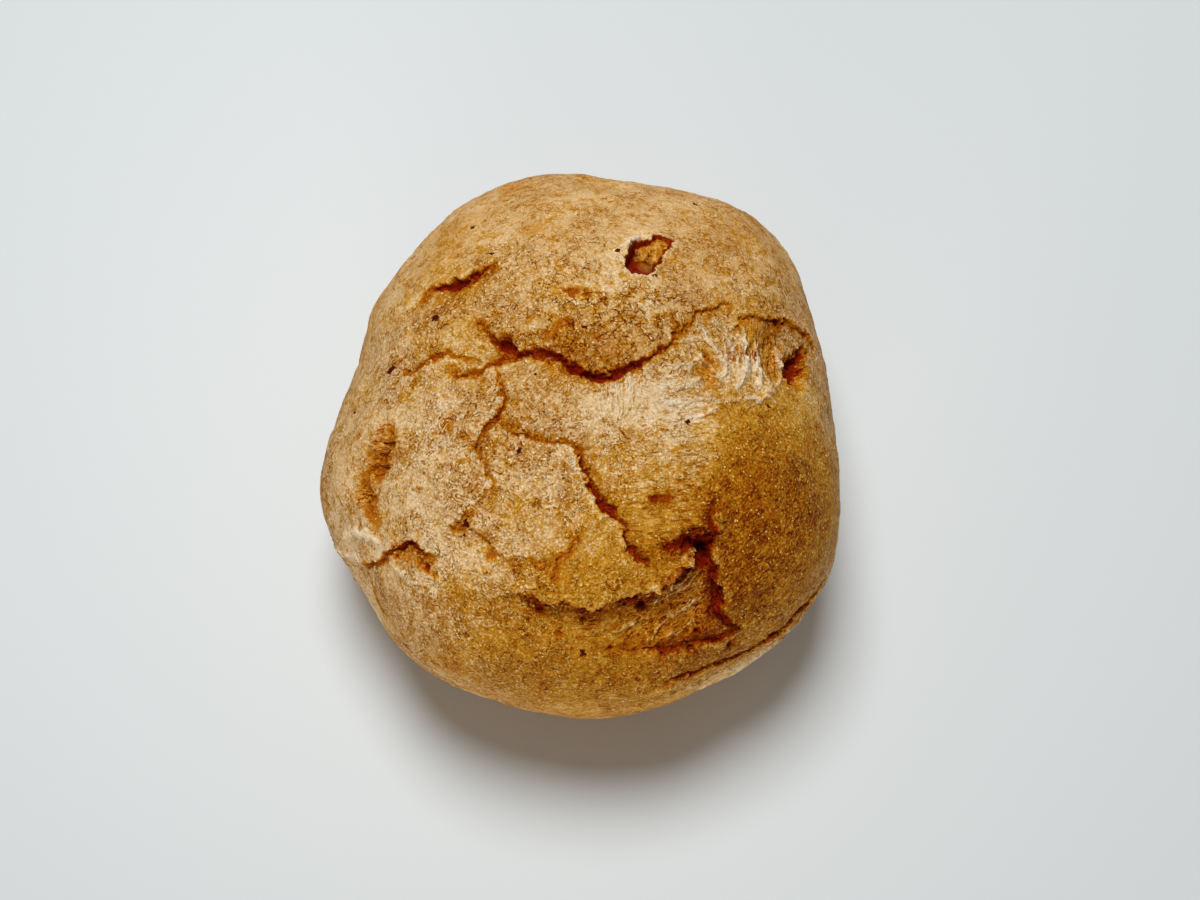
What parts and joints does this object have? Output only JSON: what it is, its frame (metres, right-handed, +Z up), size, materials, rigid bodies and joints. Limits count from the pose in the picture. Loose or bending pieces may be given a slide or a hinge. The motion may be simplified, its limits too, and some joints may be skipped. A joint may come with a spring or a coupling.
{
  "type": "cream puff",
  "caption": "Plain baked choux bun: a low, uneven, rounded bun with a cracked golden-brown crust, a burst bubble on its crown and a flat base to rest on.",
  "frame": {"origin": "on the surface the bun rests on, at the middle of its footprint box", "axes": "+Z up, out of the crown; +Y along the bun's long way, with the burst bubble towards +Y and the browned, torn end towards -Y; +X along its short way"},
  "size_m": [0.08, 0.086, 0.0536],
  "materials": {
    "choux_crust": "dry baked crust, matte to faintly satin, sandy and finely cracked; golden tan, paler where the dough stretched and browner towards the front right and the base"
  },
  "bodies": {
    "root": {"cream_puff": "choux_crust"}
  },
  "joints": []
}
